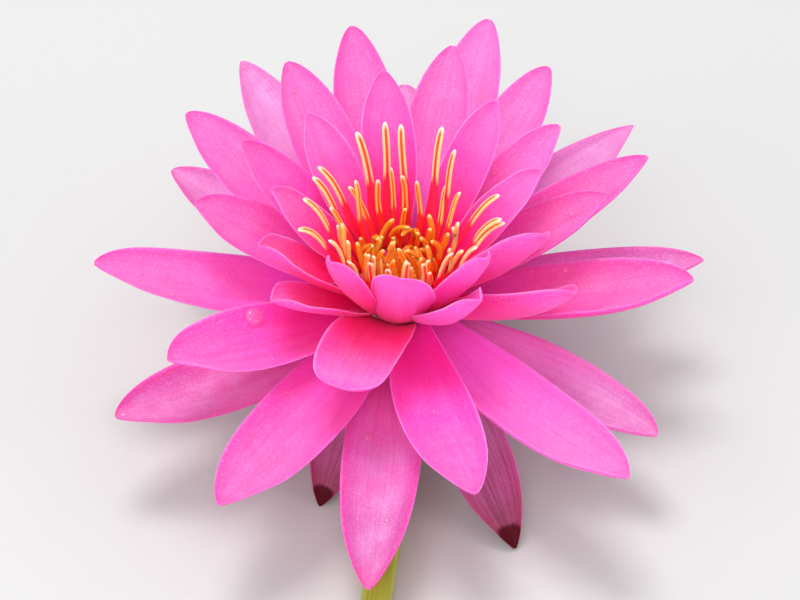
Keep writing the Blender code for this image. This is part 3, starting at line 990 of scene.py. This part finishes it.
@dataclass
class NodeRecipe:
    """A Geometry Nodes tree under construction, with its named inputs."""

    name: str
    numbers: Mapping[str, float | int]
    tree: bpy.types.NodeTree = field(init=False)
    source: bpy.types.Node = field(init=False)

    def __post_init__(self) -> None:
        """Starts the tree, its geometry sockets and one socket for each number."""
        self.tree = bpy.data.node_groups.new(self.name, "GeometryNodeTree")
        face = self.tree.interface
        face.new_socket("Geometry", in_out="INPUT", socket_type="NodeSocketGeometry")
        face.new_socket("Geometry", in_out="OUTPUT", socket_type="NodeSocketGeometry")
        for label, value in self.numbers.items():
            kind = "NodeSocketInt" if isinstance(value, int) else "NodeSocketFloat"
            face.new_socket(label, in_out="INPUT", socket_type=kind).default_value = value
        self.source = self.tree.nodes.new("NodeGroupInput")

    def value(self, label: str) -> bpy.types.NodeSocket:
        """The socket of a named input."""
        return self.source.outputs[label]

    def math(self, operation: str, *values: Any) -> bpy.types.NodeSocket:
        """A Math node's result."""
        return calculate(self.tree, operation, *values)

    def times(self, first: Any, *others: Any) -> bpy.types.NodeSocket:
        """Values multiplied in turn."""
        return product(self.tree, first, *others)

    def store(
        self, geometry: bpy.types.NodeSocket, name: str, value: bpy.types.NodeSocket, kind: str = "FLOAT"
    ) -> bpy.types.NodeSocket:
        """Stores a number on every point.

        Args:
            geometry: The geometry that gets it.
            name: The number's name.
            value: What is stored.
            kind: Its data type.

        Returns:
            The geometry with the number on it.
        """
        settings, links = {"data_type": kind, "domain": "POINT"}, {"Geometry": geometry, "Name": name}
        node = add(self.tree, "GeometryNodeStoreNamedAttribute", settings, links)
        self.tree.links.new(value, next(k for k in node.inputs if k.name == "Value" and k.enabled))
        return node.outputs["Geometry"]

    def named(self, name: str, kind: str = "FLOAT") -> bpy.types.NodeSocket:
        """Reads a named number back."""
        node = add(self.tree, "GeometryNodeInputNamedAttribute", {"data_type": kind}, {"Name": name})
        return next(k for k in node.outputs if k.name == "Attribute" and k.enabled)

    def chance(self, low: float, high: float, which: bpy.types.NodeSocket, seed: int) -> bpy.types.NodeSocket:
        """Draws a fixed random number for each value of which.

        Args:
            low: The least it can be.
            high: The most it can be.
            which: What tells the draws apart.
            seed: Added to the tree's own seed.

        Returns:
            The socket of the draw.
        """
        node = add(self.tree, "FunctionNodeRandomValue", {"data_type": "FLOAT"})
        sockets = {socket.name: socket for socket in node.inputs if socket.enabled}
        sockets["Min"].default_value, sockets["Max"].default_value = low, high
        self.tree.links.new(which, sockets["ID"])
        self.tree.links.new(self.math("ADD", self.value("Seed"), float(seed)), sockets["Seed"])
        return next(k for k in node.outputs if k.enabled)

    def finish(self, geometry: bpy.types.NodeSocket, material: bpy.types.Material) -> None:
        """Ends the tree: one real mesh, smooth, with its material.

        Args:
            geometry: What the tree has made.
            material: Its finish.
        """
        solid = add(self.tree, "GeometryNodeRealizeInstances", {}, {"Geometry": geometry}).outputs[0]
        smooth = add(self.tree, "GeometryNodeSetShadeSmooth", {}, {0: solid}).outputs[0]
        dressed = add(self.tree, "GeometryNodeSetMaterial", {}, {"Geometry": smooth, "Material": material})
        add(self.tree, "NodeGroupOutput", {}, {0: dressed.outputs[0]})

    def run(self, start: bpy.types.Mesh, numbers: Mapping[str, float | int]) -> bpy.types.Mesh:
        """Runs the tree on a mesh and returns the result as a plain mesh.

        Args:
            start: The mesh that goes in.
            numbers: Values for the named inputs.

        Returns:
            A mesh that no longer depends on the tree.
        """
        obj = bpy.data.objects.new(self.name, start)
        bpy.context.scene.collection.objects.link(obj)
        modifier = obj.modifiers.new(self.name, "NODES")
        modifier.node_group = self.tree
        for item in self.tree.interface.items_tree:
            if item.item_type == "SOCKET" and item.in_out == "INPUT" and item.name in numbers:
                modifier[item.identifier] = numbers[item.name]
        graph = bpy.context.evaluated_depsgraph_get()
        graph.update()
        mesh = bpy.data.meshes.new_from_object(obj.evaluated_get(graph), depsgraph=graph)
        obj.modifiers.remove(modifier)
        bpy.data.objects.remove(obj)
        return mesh


@dataclass(frozen=True)
class Stamen:
    """One stamen. Angles in degrees, length in mm."""

    azimuth: float
    length: float
    rise: float = 62.0  # climb at its foot
    curl: float = 20.0  # how far its tip turns in, over the axis
    lean: float = 0.0  # how far its tip stands to one side, as a share of its length
    flick: float = 0.0  # how far its last third turns out again


@dataclass(frozen=True)
class Whorl:
    """One ring of stamens, mm."""

    name: str
    radius: float
    width: float
    depth: float
    taper: float  # share of the width lost by the tip
    pollen_from: float  # share of the length where the pollen sacs begin
    finish: StamenSkin
    seed: int
    stamens: tuple[Stamen, ...] = ()

    # How far one stamen of an untidy ring differs from its model, at least and at most.
    STRAY = (-5, 5)  # degrees round the axis
    LENGTHS = (-0.22, 0.15)  # share of its length
    RISES = (-10, 10)  # degrees
    CURLS = (-0.8, 0.7)  # share of its curl
    LEANS = (-0.34, 0.34)  # share of its length

    @classmethod
    def brush(
        cls, count: int, first: float, back: Stamen, side: Stamen, front: Stamen, seed: int, vary: float = 1.0
    ) -> tuple[Stamen, ...]:
        """Lays out a ring that changes from the back of the flower over its sides to its front.

        Args:
            count: How many there are.
            first: Azimuth of the first.
            back: The ring's stamen at the back.
            side: The ring's stamen at either side.
            front: The ring's stamen at the front.
            seed: Start of the fixed random numbers that make each one a little different.
            vary: How different they are, 1 for the untidiest ring.

        Returns:
            The stamens, in order round the ring.
        """
        chance = np.random.default_rng(seed)
        ring = []
        for k in range(count):
            azimuth = first + 360 * k / count + chance.uniform(*cls.STRAY)
            north = math.sin(math.radians(azimuth))
            models = ((back, max(north, 0.0) ** 2), (side, 1 - north**2), (front, min(north, 0.0) ** 2))
            length, rise, curl, flick = (
                sum(getattr(model, size) * weight for model, weight in models)
                for size in ("length", "rise", "curl", "flick")
            )
            length *= 1 + vary * chance.uniform(*cls.LENGTHS)
            rise += vary * chance.uniform(*cls.RISES)
            curl *= 1 + vary * chance.uniform(*cls.CURLS)
            ring.append(Stamen(azimuth, length, rise, curl, vary * chance.uniform(*cls.LEANS), flick))
        return tuple(ring)


@dataclass
class Androecium:
    """The stamens: each whorl is one Geometry Nodes run, one ring in the frame."""

    whorls: tuple[Whorl, ...]
    foot_height: float = 12.6
    hook: float = 2.2  # power of the share of the length by which a stamen turns in
    wander: float = 0.35  # mm that a stamen snakes to either side

    def recipe(self, whorl: Whorl, material: bpy.types.Material) -> NodeRecipe:
        """Builds the tree that stands a tube on every point and bends it by the point's own numbers.

        Args:
            whorl: The ring; its sizes become the tree's named inputs.
            material: The stamens' finish.

        Returns:
            The finished recipe.
        """
        recipe = NodeRecipe(
            "grow_" + whorl.name,
            {
                "Radius": whorl.radius,
                "Half Width": whorl.width / 2,
                "Half Depth": whorl.depth / 2,
                "Taper": whorl.taper,
                "Pollen From": whorl.pollen_from,
                "Foot Height": self.foot_height,
                "Hook": self.hook,
                "Wander": self.wander,
                "Seed": whorl.seed,
            },
        )
        tree, math_node, times = recipe.tree, recipe.math, recipe.times
        index = add(tree, "GeometryNodeInputIndex").outputs[0]
        points = recipe.store(recipe.source.outputs["Geometry"], "which", index, "INT")
        links = {"Vertices": 14, "Side Segments": 26, "Fill Segments": 1, "Radius": 1.0, "Depth": 1.0}
        tube = add(tree, "GeometryNodeMeshCylinder", {"fill_type": "TRIANGLE_FAN"}, links).outputs["Mesh"]
        # A tube's own coordinates are kept as numbers before it is bent into place.
        here = add(tree, "ShaderNodeSeparateXYZ", {}, {0: add(tree, "GeometryNodeInputPosition").outputs[0]})
        left = math_node("MAXIMUM", math_node("SUBTRACT", 0.5, here.outputs["Z"]), 0.0)
        tube = recipe.store(tube, "along", math_node("SUBTRACT", 1.0, math_node("POWER", left, 1.6)))
        tube = recipe.store(tube, "across", here.outputs["X"])
        tube = recipe.store(tube, "inward", here.outputs["Y"])
        links = {"Points": points, "Instance": tube}
        copies = add(tree, "GeometryNodeInstanceOnPoints", {}, links).outputs[0]
        copies = add(tree, "GeometryNodeRealizeInstances", {}, {"Geometry": copies}).outputs[0]
        which = recipe.named("which", "INT")
        s, t, d = recipe.named("along"), recipe.named("across"), recipe.named("inward")
        turn, length = recipe.named("turn"), recipe.named("length")
        rise, curl, lean, flick = (recipe.named(label) for label in ("rise", "curl", "lean", "flick"))

        def climb(share: bpy.types.NodeSocket) -> bpy.types.NodeSocket:
            """The angle above level at a share of the length."""
            hooked = math_node("POWER", share, recipe.value("Hook"))
            turned_in = math_node("MULTIPLY_ADD", curl, hooked, rise)
            return math_node("SUBTRACT", turned_in, times(flick, math_node("POWER", share, 5.0)))

        # Boole's rule adds up the way from the foot, with the angle at each quarter of it.
        angle, quarters = climb(s), [climb(times(s, share)) for share in (0.25, 0.5, 0.75)]
        reach = times(length, s, 1 / 90)

        def way(operation: str) -> bpy.types.NodeSocket:
            """How far the middle line has come, outwards for COSINE and upwards for SINE."""
            total = times(math_node("ADD", math_node(operation, rise), math_node(operation, angle)), 7.0)
            for quarter, weight in zip(quarters, (32.0, 12.0, 32.0)):
                total = math_node("MULTIPLY_ADD", math_node(operation, quarter), weight, total)
            return times(reach, total)

        out = math_node("ADD", recipe.value("Radius"), way("COSINE"))
        high = math_node("ADD", recipe.value("Foot Height"), way("SINE"))

        # Width: broad below, narrower above, with a round end.
        rest = math_node("SUBTRACT", 1.01, math_node("POWER", s, 26.0))
        end = math_node("SQRT", math_node("MAXIMUM", rest, 0.0))
        narrow = times(recipe.value("Taper"), between(tree, s, 0.25, 0.65))
        half = times(recipe.value("Half Width"), math_node("SUBTRACT", 1.0, narrow), end)
        half = times(half, recipe.chance(0.88, 1.15, which, 5))
        # Two pollen sacs stand up along the inner face, one by each edge.
        off = math_node("DIVIDE", math_node("SUBTRACT", math_node("ABSOLUTE", t), 0.6), 0.26)
        sac = math_node("EXPONENT", times(off, off, -1.0))
        pollen_from = recipe.value("Pollen From")
        begun = between(tree, s, pollen_from, math_node("ADD", pollen_from, 0.12))
        sac = times(sac, begun, math_node("GREATER_THAN", d, 0.0))
        deep = times(math_node("ADD", d, sac), times(recipe.value("Half Depth"), end))
        sideways = times(length, math_node("POWER", s, 2.0), lean)
        sway = math_node("SINE", math_node("MULTIPLY_ADD", s, 5.0, recipe.chance(0.0, 6.0, which, 7)))
        sideways = math_node("ADD", sideways, times(sway, times(recipe.value("Wander"), s)))
        sideways = math_node("MULTIPLY_ADD", half, t, sideways)

        out = math_node("SUBTRACT", out, times(math_node("SINE", angle), deep))
        high = math_node("ADD", high, times(math_node("COSINE", angle), deep))
        east, north = math_node("COSINE", turn), math_node("SINE", turn)
        x = math_node("SUBTRACT", times(out, east), times(sideways, north))
        y = math_node("ADD", times(out, north), times(sideways, east))
        place = add(tree, "ShaderNodeCombineXYZ", {}, {"X": x, "Y": y, "Z": high}).outputs[0]
        bent = add(tree, "GeometryNodeSetPosition", {}, {"Geometry": copies, "Position": place}).outputs[0]
        recipe.finish(bent, material)
        return recipe

    def points(self, whorl: Whorl) -> bpy.types.Mesh:
        """One point for each stamen of a whorl, with its numbers in radians and mm.

        Args:
            whorl: The ring.

        Returns:
            A mesh of loose points.
        """
        mesh = bpy.data.meshes.new(whorl.name + "_points")
        mesh.from_pydata([(0.0, 0.0, 0.0)] * len(whorl.stamens), [], [])
        point_attribute(mesh, "turn", np.radians([k.azimuth for k in whorl.stamens]))
        for label in ("rise", "curl", "flick"):
            point_attribute(mesh, label, np.radians([getattr(k, label) for k in whorl.stamens]))
        for label in ("length", "lean"):
            point_attribute(mesh, label, np.array([getattr(k, label) for k in whorl.stamens]))
        return mesh

    def build(self) -> None:
        """Grows every whorl and fits it."""
        materials: dict[StamenSkin, bpy.types.Material] = {}
        for whorl in self.whorls:
            if whorl.finish not in materials:
                materials[whorl.finish] = whorl.finish.build()
            material = materials[whorl.finish]
            mesh = self.recipe(whorl, material).run(self.points(whorl), {"Seed": whorl.seed})
            mesh.name = whorl.name
            mesh.transform(HEAD @ Matrix.Scale(MM, 4))
            fit_piece("lily_" + whorl.name, mesh, material, [whorl.name])


OUTER_STAMEN = StamenSkin("petaloid_stamen", "#FA1C5C", "#FF5A34", "#FFD898", "#FFF4D4", pollen_from=0.54)
MIDDLE_STAMEN = StamenSkin("middle_stamen", "#FF2C3C", "#FF7A20", "#FFC878", "#FFF2CC", pollen_from=0.46)
INNER_STAMEN = StamenSkin("inner_stamen", "#FF3C1A", "#FF6A18", "#FF9A26", "#FFDC8C", pollen_from=0.40)

# The model stamens of each ring stand at its back, its right-hand side and its front.
WHORLS = (
    Whorl(
        "stamens_outer", radius=10.2, width=2.65, depth=0.6, taper=0.40, pollen_from=0.54,
        finish=OUTER_STAMEN, seed=11,
        stamens=Whorl.brush(
            20, 8, Stamen(90, 30, 66, 32, flick=45), Stamen(0, 23, 56, 62, flick=100),
            Stamen(270, 13.5, 87, 16), seed=29, vary=0.35,
        ),
    ),
    Whorl(
        "stamens_middle", radius=8.95, width=1.7, depth=0.7, taper=0.32, pollen_from=0.44,
        finish=MIDDLE_STAMEN, seed=23,
        stamens=Whorl.brush(
            23, 0, Stamen(90, 19, 63, 60, flick=35), Stamen(0, 18, 60, 78, flick=65),
            Stamen(270, 12, 87, 30), seed=31, vary=0.6,
        ),
    ),
    Whorl(
        "stamens_inner", radius=7.7, width=1.5, depth=0.8, taper=0.2, pollen_from=0.30,
        finish=INNER_STAMEN, seed=37,
        stamens=Whorl.brush(
            24, 3, Stamen(90, 10.5, 72, 92), Stamen(0, 12.5, 80, 60), Stamen(270, 14.5, 88, 26), seed=37
        ),
    ),
    Whorl(
        "stamens_innermost", radius=6.6, width=1.3, depth=0.8, taper=0.15, pollen_from=0.28,
        finish=INNER_STAMEN, seed=41,
        stamens=Whorl.brush(
            18, 12, Stamen(90, 7.5, 80, 96), Stamen(0, 10, 86, 65), Stamen(270, 12, 92, 34), seed=43
        ),
    ),
)


# ---------------------------------------------------------------------------------------------
# Pistil, stem, beads
# ---------------------------------------------------------------------------------------------


def polar_grid(rings: int, sides: int) -> tuple[np.ndarray, np.ndarray, np.ndarray]:
    """Faces of a closed skin that is turned from a first pole to a last pole.

    Args:
        rings: Rings between the two poles.
        sides: Points on each ring.

    Returns:
        Faces of the side as quads, of the first cap and of the last cap as triangles. The first pole
        is point 0, the rings follow, and the last pole comes last.
    """
    ring = 1 + np.arange(rings * sides).reshape(rings, sides)
    after = np.roll(ring, -1, axis=1)
    quads = np.stack([ring[:-1], after[:-1], after[1:], ring[1:]], -1).reshape(-1, 4)
    first = np.stack([np.zeros(sides, int), after[0], ring[0]], -1)
    last = np.stack([np.full(sides, rings * sides + 1), ring[-1], after[-1]], -1)
    return quads, first, last


@dataclass
class Pistil:
    """The ovary cup and the ribbed stigma dish in its mouth, mm."""

    sides: int = 96
    rays: int = 16

    def build(self) -> None:
        """Builds and dresses both pieces."""
        rind = StemSkin("ovary_rind", "#E84A7C", "#D03468", "#A8A83C", 0.3).build()
        fit_piece("lily_ovary", self._ovary(), rind, ["ovary"])
        fit_piece("lily_stigma_disc", self._dish(), PistilSkin().build(), ["stigma_disc"])

    def _turned(
        self, name: str, profile: np.ndarray, ripple: np.ndarray
    ) -> tuple[bpy.types.Mesh, np.ndarray]:
        """Turns a profile round the axis.

        Args:
            name: The mesh's name.
            profile: Radius and height of each ring, the first and last on the axis.
            ripple: Height added to each point of each ring between the poles.

        Returns:
            The mesh, and each point's angle.
        """
        angles = np.linspace(0, 2 * math.pi, self.sides, endpoint=False)
        rings = profile[1:-1]
        x = rings[:, :1] * np.cos(angles)
        y = rings[:, :1] * np.sin(angles)
        z = np.broadcast_to(rings[:, 1:], x.shape) + ripple
        body = np.stack([x, y, z], -1).reshape(-1, 3)
        points = np.vstack([[0, 0, profile[0, 1]], body, [0, 0, profile[-1, 1]]])
        quads, first, last = polar_grid(len(rings), self.sides)
        faces = [list(face) for part in (quads, first, last) for face in part]
        mesh = mesh_from(name, points, faces, HEAD)
        turn = np.concatenate([[0.0], np.tile(angles, len(rings)), [0.0]])
        along = np.concatenate([[0.0], np.repeat(np.linspace(0, 1, len(rings)), self.sides), [1.0]])
        skin_map(mesh, np.stack([turn / (2 * math.pi), along], -1))
        return mesh, turn

    def _ovary(self) -> bpy.types.Mesh:
        """The cup: a wall that widens upwards to a flat mouth."""
        heights = np.linspace(0.7, OVARY_HEIGHT - 0.4, 12)
        wall = [(OVARY_BOTTOM_RADIUS + OVARY_WIDENING * z, z) for z in heights]
        brim = OVARY_BOTTOM_RADIUS + OVARY_WIDENING * OVARY_HEIGHT - 0.3
        mouth = [(radius, OVARY_HEIGHT) for radius in (brim, 6.4, 0)]
        profile = np.array([(0, 0), (3.9, 0), (5.3, 0.2), *wall, *mouth])
        mesh, _ = self._turned("lily_ovary", profile, np.zeros((len(profile) - 2, self.sides)))
        point_attribute(mesh, "pith", np.zeros(len(mesh.vertices)))
        return mesh

    def _dish(self) -> bpy.types.Mesh:
        """The stigma dish: rays that stand up from a bowl, and a knob in the middle."""
        wall = [(0, 12.7), (5.2, 12.7), (5.7, 12.9), (5.9, 13.4), (5.85, 13.9)]
        bowl = [(5.6, 14.35), (5.1, 14.4), (4.5, 14.15), (3.8, 13.85), (3.1, 13.6), (2.4, 13.45), (1.8, 13.4)]
        knob = [(1.4, 13.6), (1.1, 14.1), (0.8, 14.4), (0.4, 14.5), (0, 14.55)]
        profile = np.array([*wall, *bowl, *knob])
        angles = np.linspace(0, 2 * math.pi, self.sides, endpoint=False)
        # The rays stand up from the bowl only, and die out towards the knob.
        inside = np.clip(profile[:, 0] / 3.0, 0, 1) * (np.arange(len(profile)) >= len(wall))
        ripple = 0.28 * inside[1:-1, None] * np.cos(self.rays * angles)[None, :]
        mesh, turn = self._turned("lily_stigma_disc", profile, ripple)
        furrow = (1 - np.cos(self.rays * turn)) / 2
        point_attribute(mesh, "furrow", furrow)
        return mesh


@dataclass
class Peduncle:
    """The stem: it leaves the ovary, bends over and lies along the surface to its cut end, mm."""

    radius: float = 3.3
    bend_radius: float = 16.5
    end_y: float = -80.0  # where it is cut
    drift_x: float = -6.4  # how far its cut end lies to one side
    gap: float = 0.3  # from the ovary's bottom to its top
    sides: int = 40

    RIBS, RIB_SHARE = 8, 0.012  # ribs round it, and their height as a share of its radius
    # Two rings of air canals: how many, their place and size as shares of the radius, and first angle.
    CANALS = ((4, 0.40, 0.20, 0.4), (8, 0.74, 0.10, 0.1))
    CANAL_DEPTH = 1.2

    def path(self) -> np.ndarray:
        """Middle line in the world, mm, evenly stepped."""
        head = np.array(HEAD_PLACE) / MM
        down = np.array([0.0, math.sin(HEAD_LEAN), -math.cos(HEAD_LEAN)])
        start = head + down * self.gap
        sweep = math.pi / 2 + HEAD_LEAN
        fall = start[2] - self.radius - self.bend_radius * (1 - math.cos(sweep))
        first = start + down * max(fall / math.cos(HEAD_LEAN), 0.2)
        centre = first + self.bend_radius * np.array([0.0, -math.cos(HEAD_LEAN), -math.sin(HEAD_LEAN)])
        angles = np.linspace(0, sweep, 28)
        turned = HEAD_LEAN - angles
        arc = centre + self.bend_radius * np.stack([0 * angles, np.cos(turned), np.sin(turned)], -1)
        flat_from = arc[-1, 1]
        run = np.linspace(0, 1, 70)[1:]
        ahead = flat_from + (self.end_y - flat_from) * run
        flat = np.stack([np.full_like(run, head[0]), ahead, np.full_like(run, arc[-1, 2])], -1)
        path = np.vstack([start, arc, flat])
        share = np.clip((path[:, 1] - flat_from) / (self.end_y - flat_from), 0, 1)
        path[:, 0] += self.drift_x * share * share * (3 - 2 * share)
        return path

    def mesh(self) -> bpy.types.Mesh:
        """Sweeps the rind along the path and closes it with a cut face full of air canals."""
        path = self.path()
        ahead = np.gradient(path, axis=0)
        ahead /= np.linalg.norm(ahead, axis=1, keepdims=True)
        side = np.cross(ahead, np.stack([0 * ahead[:, 0], ahead[:, 2], -ahead[:, 1]], -1))
        side /= np.linalg.norm(side, axis=1, keepdims=True)
        over = np.cross(side, ahead)
        angles = np.linspace(0, 2 * math.pi, self.sides, endpoint=False)
        ribs = 1 + self.RIB_SHARE * np.cos(self.RIBS * angles)
        rings = path[:, None] + self.radius * ribs[None, :, None] * (
            np.cos(angles)[None, :, None] * over[:, None] + np.sin(angles)[None, :, None] * side[:, None]
        )
        # The soft rind flattens a trifle where it lies on the surface.
        rings[..., 2] = np.maximum(rings[..., 2], 0.0)
        cut: list[np.ndarray] = []
        for share in np.linspace(1, 0, 15)[1:-1]:
            ring = path[-1] + (rings[-1] - path[-1]) * share
            cut.append(ring - ahead[-1] * self._canal(share, angles)[:, None])
        points = np.vstack([path[0], rings.reshape(-1, 3), *cut, path[-1] - ahead[-1] * 0.9])
        total = len(rings) + len(cut)
        quads, first, last = polar_grid(total, self.sides)
        faces = [list(face)[::-1] for part in (quads, first, last) for face in part]
        mesh = mesh_from("lily_stem", points, faces)
        travelled = np.concatenate([[0], np.cumsum(np.linalg.norm(np.diff(path, axis=0), axis=1))])
        along = np.concatenate([travelled / travelled[-1], np.ones(len(cut))])
        pairs = np.stack([np.tile(angles / (2 * math.pi), total), np.repeat(along, self.sides)], -1)
        skin_map(mesh, np.vstack([[0, 0], pairs, [0, 1]]))
        point_attribute(mesh, "pith", np.arange(len(points)) > len(rings) * self.sides)
        return mesh

    def _canal(self, share: float, angles: np.ndarray) -> np.ndarray:
        """Depth of the air canals in the cut face at one share of its radius, mm.

        Args:
            share: From 0 in the middle to 1 at the rind.
            angles: Places round the cut face.

        Returns:
            One depth for each angle.
        """
        x, y = share * np.cos(angles), share * np.sin(angles)
        depth = np.zeros_like(angles)
        for count, ring, size, offset in self.CANALS:
            for k in range(count):
                turn = offset + 2 * math.pi * k / count
                gap = np.hypot(x - ring * math.cos(turn), y - ring * math.sin(turn))
                depth = np.maximum(depth, self.CANAL_DEPTH * np.clip((size - gap) / 0.06, 0, 1))
        return depth

    def build(self) -> None:
        """Builds and dresses the stem."""
        rind = StemSkin("stem_rind", "#B4B83C", "#98981E", "#A8743C", 0.3).build()
        fit_piece("lily_stem", self.mesh(), rind, ["stem"])


@dataclass(frozen=True)
class Bead:
    """One bead of water: the blade it sits on, its place there as shares, and its width in mm."""

    blade: str
    s: float
    v: float
    width: float


@dataclass
class Dew:
    """Water beads that stand on the petals, set out by Geometry Nodes."""

    beads: tuple[Bead, ...]
    squash: float = 0.50  # height of a bead as a share of its width
    lift: float = 0.12  # how far its middle stands above the skin, as a share of its radius

    def recipe(self, material: bpy.types.Material) -> NodeRecipe:
        """Builds the tree: a dome on every point, turned to the point's own normal.

        Args:
            material: The beads' finish.

        Returns:
            The finished recipe.
        """
        recipe = NodeRecipe("bead_water", {"Squash": self.squash, "Lift": self.lift})
        tree = recipe.tree
        ball = add(tree, "GeometryNodeMeshUVSphere", {}, {"Segments": 24, "Rings": 14, "Radius": 1.0})
        stretch = add(tree, "ShaderNodeCombineXYZ", {}, {"X": 1.0, "Y": 1.0, "Z": recipe.value("Squash")})
        up = add(tree, "ShaderNodeCombineXYZ", {}, {"Z": recipe.value("Lift")})
        links = {"Geometry": ball.outputs["Mesh"], "Translation": up.outputs[0], "Scale": stretch.outputs[0]}
        dome = add(tree, "GeometryNodeTransform", {}, links).outputs[0]
        normal = recipe.named("standing", "FLOAT_VECTOR")
        turn = add(tree, "FunctionNodeAlignRotationToVector", {"axis": "Z"}, {"Vector": normal}).outputs[0]
        links = {"Instance": dome, "Rotation": turn, "Scale": recipe.named("radius")}
        links["Points"] = recipe.source.outputs["Geometry"]
        recipe.finish(add(tree, "GeometryNodeInstanceOnPoints", {}, links).outputs[0], material)
        return recipe

    def build(self, corolla: Corolla) -> None:
        """Seats every bead on its blade.

        Args:
            corolla: The petals that carry them.
        """
        material = BeadWater().build()
        blades = corolla.toned()
        places, normals = zip(*(blades[bead.blade].seat(bead.s, bead.v) for bead in self.beads))
        start = bpy.data.meshes.new("bead_places")
        start.from_pydata([tuple(place) for place in places], [], [])
        point_attribute(start, "radius", np.array([bead.width / 2 * MM for bead in self.beads]))
        standing = start.attributes.new("standing", "FLOAT_VECTOR", "POINT")
        standing.data.foreach_set("vector", np.array(normals, np.float32).ravel())
        mesh = self.recipe(material).run(start, {"Squash": self.squash})
        mesh.name = "lily_water_beads"
        fit_piece("lily_water_beads", mesh, material)


def scattered_beads(blades: tuple[Blade, ...], seed: int) -> tuple[Bead, ...]:
    """Scatters none, one or two small beads over each outer petal.

    Args:
        blades: The flower's blades.
        seed: Start of the fixed random numbers.

    Returns:
        The beads, in the blades' order.
    """
    chance = np.random.default_rng(seed)
    beads = []
    for blade in blades:
        if blade.bloom in (Bloom.SEPAL, Bloom.HEART):
            continue
        for _ in range(chance.integers(0, 3)):
            place = chance.uniform(0.3, 0.92), chance.uniform(-0.75, 0.75)
            beads.append(Bead(blade.name, *place, chance.uniform(0.8, 1.5)))
    return tuple(beads)


# The drops that stand out are given one by one: three half way along a broad petal, two caught at a tip.
LARGE_BEADS = (
    Bead("petal_17", 0.5, -0.7, 4.4),
    Bead("petal_08", 0.45, -0.4, 2.2),
    Bead("petal_07", 0.97, 0.0, 2.0),
    Bead("petal_05", 0.97, 0.0, 1.8),
    Bead("petal_12", 0.5, 0.8, 1.5),
)
BEADS = LARGE_BEADS + scattered_beads(BLADES, 47)


# ---------------------------------------------------------------------------------------------
# Studio
# ---------------------------------------------------------------------------------------------


@dataclass
class Studio:
    """Pale floor, soft lights and the camera."""

    elevation: float = math.radians(42.0)
    distance: float = 0.560
    aim_height: float = 3.0  # above the ovary's bottom, along the flower's axis, mm
    lens: float = 109.87
    shift_y: float = 0.00375
    sky_strength: float = 0.80

    def build(self) -> None:
        """Sets everything up."""
        self._floor()
        self._lights()
        self._camera()

    def _floor(self) -> None:
        """A wide sheet of paper under the flower."""
        mesh = bpy.data.meshes.new("floor")
        mesh.from_pydata([(-3, -3, 0), (3, -3, 0), (3, 3, 0), (-3, 3, 0)], [], [(0, 1, 2, 3)])
        mesh.materials.append(StudioPaper().build())
        floor = bpy.data.objects.new("floor", mesh)
        bpy.context.scene.collection.objects.link(floor)

    def _lights(self) -> None:
        """An even pale sky, a soft light overhead, one in front and a weaker one at either side of it."""
        world = bpy.data.worlds.new("pale_sky")
        world.use_nodes = True
        sky = world.node_tree.nodes["Background"]
        sky.inputs["Color"].default_value = linear("#F4F6FA")
        sky.inputs["Strength"].default_value = self.sky_strength
        bpy.context.scene.world = world
        for name, place, size, power in (
            ("overhead", (-0.15, 0.22, 1.10), 0.4, 6.4),
            ("front", (-0.15, -0.80, 0.95), 0.6, 3.6),
            ("front_left", (-0.9, -0.6, 0.6), 0.6, 2.5),
            ("front_right", (1.0, -0.5, 0.5), 0.6, 2.0),
        ):
            light = bpy.data.lights.new(name, "AREA")
            light.size = size
            light.energy = power
            lamp = bpy.data.objects.new(name, light)
            lamp.location = place
            lamp.rotation_euler = (HEAD_PLACE - Vector(place)).to_track_quat("-Z", "Y").to_euler()
            bpy.context.scene.collection.objects.link(lamp)

    def _camera(self) -> None:
        """A long lens that looks down on the open flower."""
        data = bpy.data.cameras.new("camera")
        data.lens = self.lens
        data.sensor_width = 36.0
        data.shift_y = self.shift_y
        camera = bpy.data.objects.new("camera", data)
        aim = HEAD @ Vector((0, 0, self.aim_height * MM))
        back = Vector((0, -math.cos(self.elevation), math.sin(self.elevation)))
        camera.location = aim + back * self.distance
        camera.rotation_euler = (-back).to_track_quat("-Z", "Y").to_euler()
        bpy.context.scene.collection.objects.link(camera)
        bpy.context.scene.camera = camera


def main() -> None:
    """Builds the flower, class by class, and the studio round it."""
    logging.basicConfig(level=logging.INFO, format="%(name)s: %(message)s", stream=sys.stdout)
    bpy.context.scene.view_settings.view_transform = "Standard"
    corolla = Corolla(BLADES, FINISHES)
    corolla.build()
    Androecium(WHORLS).build()
    Pistil().build()
    Peduncle().build()
    Dew(BEADS).build(corolla)
    Studio().build()


if __name__ == "__main__":
    main()
